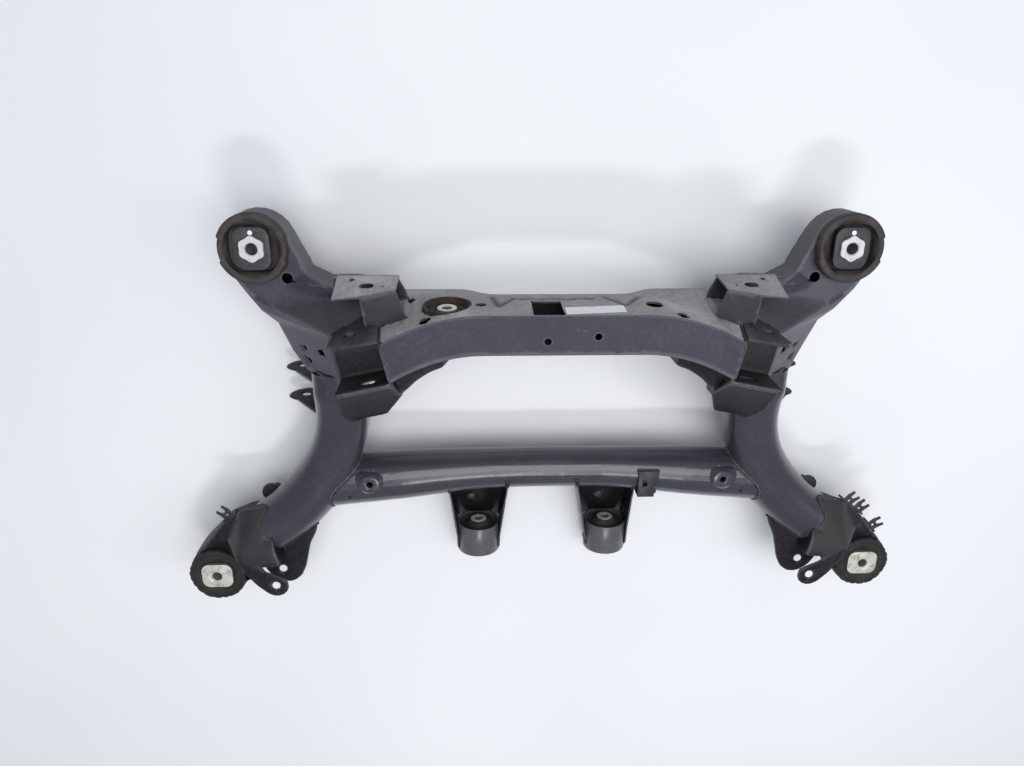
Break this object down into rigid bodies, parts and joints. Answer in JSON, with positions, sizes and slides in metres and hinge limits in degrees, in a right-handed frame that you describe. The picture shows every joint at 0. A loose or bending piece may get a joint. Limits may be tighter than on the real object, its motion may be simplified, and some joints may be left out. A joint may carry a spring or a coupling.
{
  "type": "rear axle subframe",
  "caption": "Welded rear axle subframe: bent side tubes, rear cross tube and arched front cross member with pressed arms, link brackets and rubber bushes for the body and differential.",
  "frame": {"origin": "middle of the floor under the subframe's box, which lies on its back", "axes": "+X towards the side without the front differential bush, +Y towards the front body bushes, +Z towards the side that faces the road in the car"},
  "size_m": [1.1228, 0.6101, 0.281],
  "materials": {
    "sheet_paint": "satin",
    "tube_paint": "semi-gloss",
    "gloss_paint": "gloss",
    "bush_rubber": "matt",
    "bush_steel": "satin",
    "core_alloy": "as cast",
    "rear_core_alloy": "as cast"
  },
  "bodies": {
    "root": {"arm_shell_right": "sheet_paint", "arm_shell_left": "sheet_paint", "arm_back_plate_right": "sheet_paint", "arm_back_plate_left": "sheet_paint", "link_box_right": "sheet_paint", "link_box_left": "sheet_paint", "link_plate_right": "sheet_paint", "link_plate_left": "sheet_paint", "pocket_shell_right": "sheet_paint", "pocket_shell_left": "sheet_paint", "gusset_right": "sheet_paint", "gusset_left": "sheet_paint", "cross_member_top": "sheet_paint", "cross_member_front": "sheet_paint", "side_tube_right": "tube_paint", "side_tube_left": "tube_paint", "rear_tube": "tube_paint", "weld_boss_right": "tube_paint", "weld_boss_left": "tube_paint", "corner_upper_shell_right": "sheet_paint", "corner_upper_shell_left": "sheet_paint", "corner_lower_shell_right": "sheet_paint", "corner_lower_shell_left": "sheet_paint", "diff_bracket_right": "gloss_paint", "diff_bracket_left": "gloss_paint", "diff_ring_right": "gloss_paint", "diff_ring_left": "gloss_paint", "diff_rubber_right": "bush_rubber", "diff_rubber_left": "bush_rubber", "diff_core_right": "core_alloy", "diff_core_left": "core_alloy", "nose_sleeve": "bush_rubber", "nose_rubber": "bush_rubber", "nose_core": "core_alloy", "front_sleeve_right": "bush_steel", "front_sleeve_left": "bush_steel", "front_rubber_right": "bush_rubber", "front_rubber_left": "bush_rubber", "front_stop_plate_right": "bush_steel", "front_stop_plate_left": "bush_steel", "front_core_right": "core_alloy", "front_core_left": "core_alloy", "rear_sleeve_right": "bush_steel", "rear_sleeve_left": "bush_steel", "rear_rubber_right": "bush_rubber", "rear_rubber_left": "bush_rubber", "rear_core_right": "rear_core_alloy", "rear_core_left": "rear_core_alloy", "upper_link_ears_right": "sheet_paint", "upper_link_ears_left": "sheet_paint", "tube_bracket_right": "sheet_paint", "tube_bracket_left": "sheet_paint", "tube_clip": "sheet_paint", "cable_clip_left": "sheet_paint", "cable_clip_right": "sheet_paint", "cable_clip_corner": "sheet_paint"}
  },
  "joints": []
}
